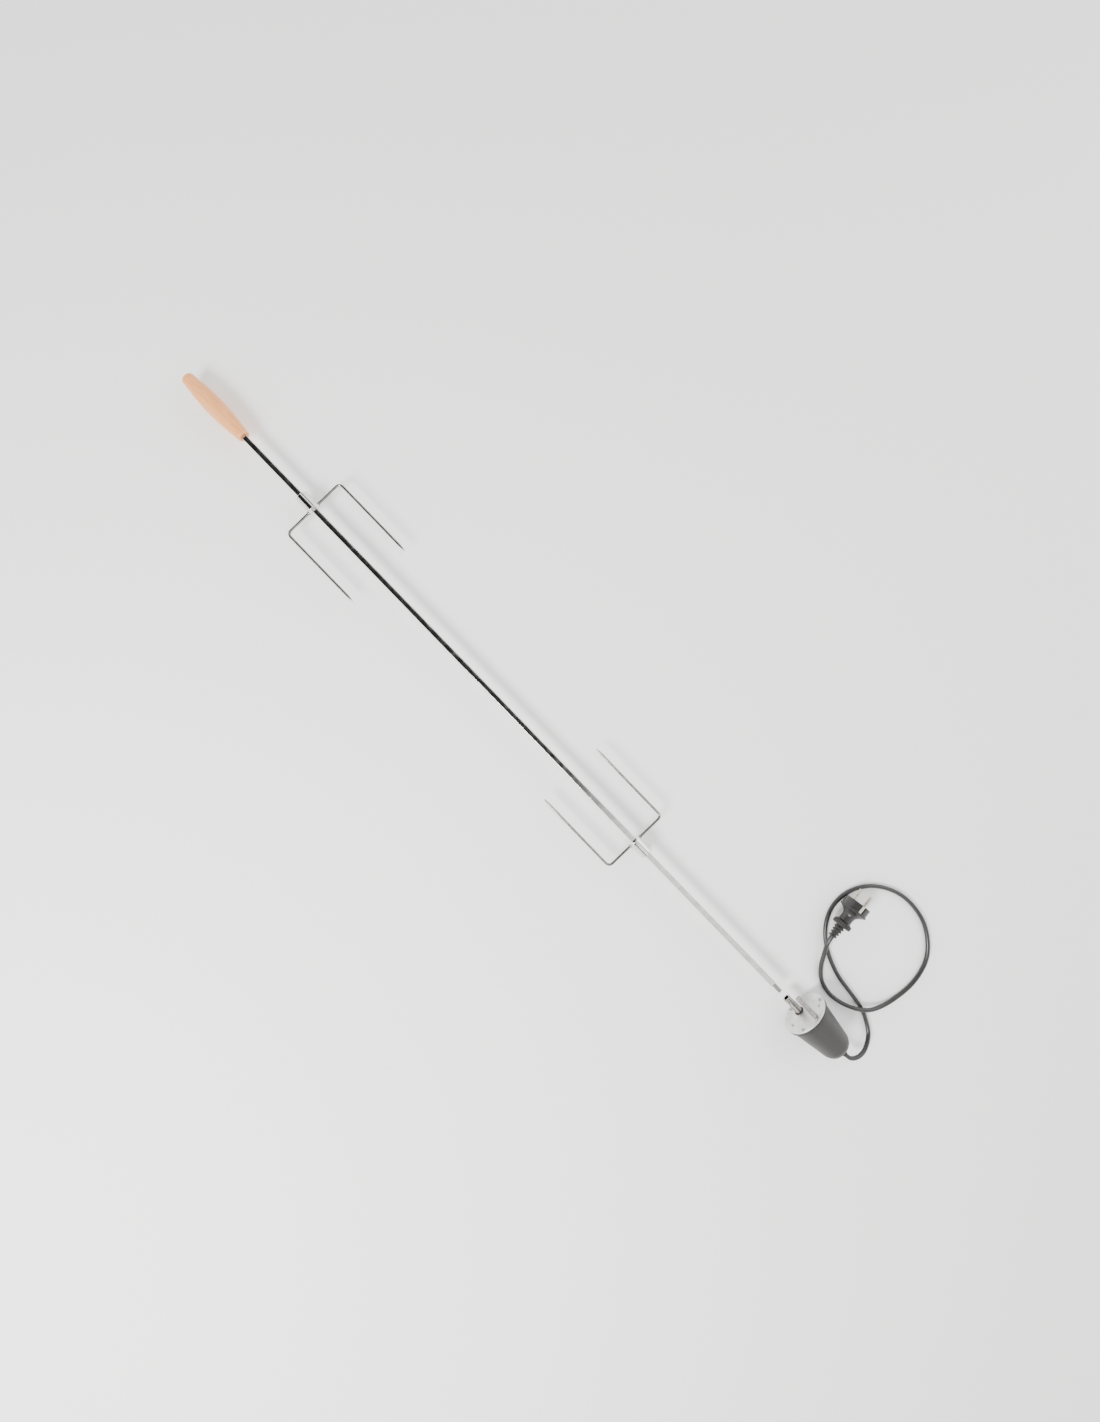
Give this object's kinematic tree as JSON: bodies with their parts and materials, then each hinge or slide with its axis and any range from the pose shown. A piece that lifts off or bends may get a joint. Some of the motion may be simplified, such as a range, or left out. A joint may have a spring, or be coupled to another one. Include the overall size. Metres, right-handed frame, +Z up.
{
  "type": "rotisserie spit roaster",
  "caption": "Square chromed roasting spit with wooden handle, sliding two-prong forks with thumb screws, and a round geared electric motor with square drive socket and mains lead.",
  "frame": {"origin": "on the ground, under the middle of everything except the mains lead, its strain relief and its plug", "axes": "+X along the spit from the handle to the motor, +Z up from the ground, +Y towards the loop of the lead"},
  "size_m": [1.4452, 0.2972, 0.07],
  "materials": {
    "chromed_bar": "polished",
    "turned_beech": "satin",
    "brushed_steel_plate": "brushed",
    "black_moulded_plastic": "matte",
    "plated_steel": "polished",
    "black_bush": "matte",
    "black_pvc": "satin",
    "nickel_brass": "polished",
    "acetal_gear": "satin",
    "brass_pinion": "satin",
    "plain_steel": "satin",
    "ferrite_magnet": "matte",
    "zinc_plated_steel": "satin",
    "coil_copper": "satin",
    "white_nylon": "matte",
    "polished_chrome": "polished",
    "chromed_wire": "polished"
  },
  "bodies": {
    "motor": {"casing": "black_moulded_plastic", "face_plate": "brushed_steel_plate", "casing_screws": "zinc_plated_steel", "shaft_bush": "black_bush", "locating_pin": "plated_steel", "locating_pin_nut": "zinc_plated_steel", "gearbox_plate": "zinc_plated_steel", "gearbox_posts": "plain_steel", "gearbox_screws": "zinc_plated_steel", "gear_arbors": "plain_steel", "stator_cup": "zinc_plated_steel", "stator_coil": "coil_copper", "terminal_block": "white_nylon", "strain_relief": "black_pvc", "power_cord": "black_pvc", "plug_body": "black_pvc", "plug_pins": "nickel_brass", "plug_earth_clips": "nickel_brass"},
    "drive": {"drive_shaft": "plated_steel", "output_gear": "acetal_gear"},
    "second_wheel": {"second_gear": "acetal_gear"},
    "third_wheel": {"third_gear": "acetal_gear"},
    "rotor": {"rotor_pinion": "brass_pinion", "rotor_shaft": "plain_steel", "rotor_magnet": "ferrite_magnet"},
    "spit": {"spit_rod": "chromed_bar", "handle": "turned_beech"},
    "fork_a": {"fork_a_collar": "polished_chrome", "fork_a_left_prong": "chromed_wire", "fork_a_right_prong": "chromed_wire"},
    "fork_b": {"fork_b_collar": "polished_chrome", "fork_b_left_prong": "chromed_wire", "fork_b_right_prong": "chromed_wire"},
    "screw_a": {"fork_a_thumb_screw": "polished_chrome"},
    "screw_b": {"fork_b_thumb_screw": "polished_chrome"}
  },
  "joints": [
    {"name": "drive_turn", "type": "hinge", "parent": "motor", "child": "drive", "pos_m": [0.6, 0, 0.0244], "axis": [1, 0, 0], "continuous": true},
    {"name": "second_turn", "type": "hinge", "parent": "motor", "child": "second_wheel", "pos_m": [0.635, 0.01646, 0.03429], "axis": [1, 0, 0], "continuous": true},
    {"name": "third_turn", "type": "hinge", "parent": "motor", "child": "third_wheel", "pos_m": [0.64, 0.01116, 0.04896], "axis": [1, 0, 0], "continuous": true},
    {"name": "rotor_turn", "type": "hinge", "parent": "motor", "child": "rotor", "pos_m": [0.65, 0.0042, 0.035], "axis": [1, 0, 0], "continuous": true},
    {"name": "spit_slide", "type": "slide", "parent": "drive", "child": "spit", "axis": [1, 0, 0], "range_m": [-0.05, 0.0285]},
    {"name": "fork_a_slide", "type": "slide", "parent": "spit", "child": "fork_a", "axis": [1, 0, 0], "range_m": [-0.115, 0.2]},
    {"name": "fork_b_slide", "type": "slide", "parent": "spit", "child": "fork_b", "axis": [1, 0, 0], "range_m": [-0.2, 0.26]},
    {"name": "fork_a_screw_turn", "type": "hinge", "parent": "fork_a", "child": "screw_a", "pos_m": [-0.4445, 0, 0.0124], "axis": [0, 0, -1], "range_deg": [-720, 0]},
    {"name": "fork_b_screw_turn", "type": "hinge", "parent": "fork_b", "child": "screw_b", "pos_m": [0.2885, 0, 0.0124], "axis": [0, 0, -1], "range_deg": [-720, 0]}
  ],
  "couplings": [
    {"joint": "second_turn", "follows": "drive_turn", "ratio": -4.3333},
    {"joint": "third_turn", "follows": "drive_turn", "ratio": 14.444},
    {"joint": "rotor_turn", "follows": "drive_turn", "ratio": -48.148}
  ]
}
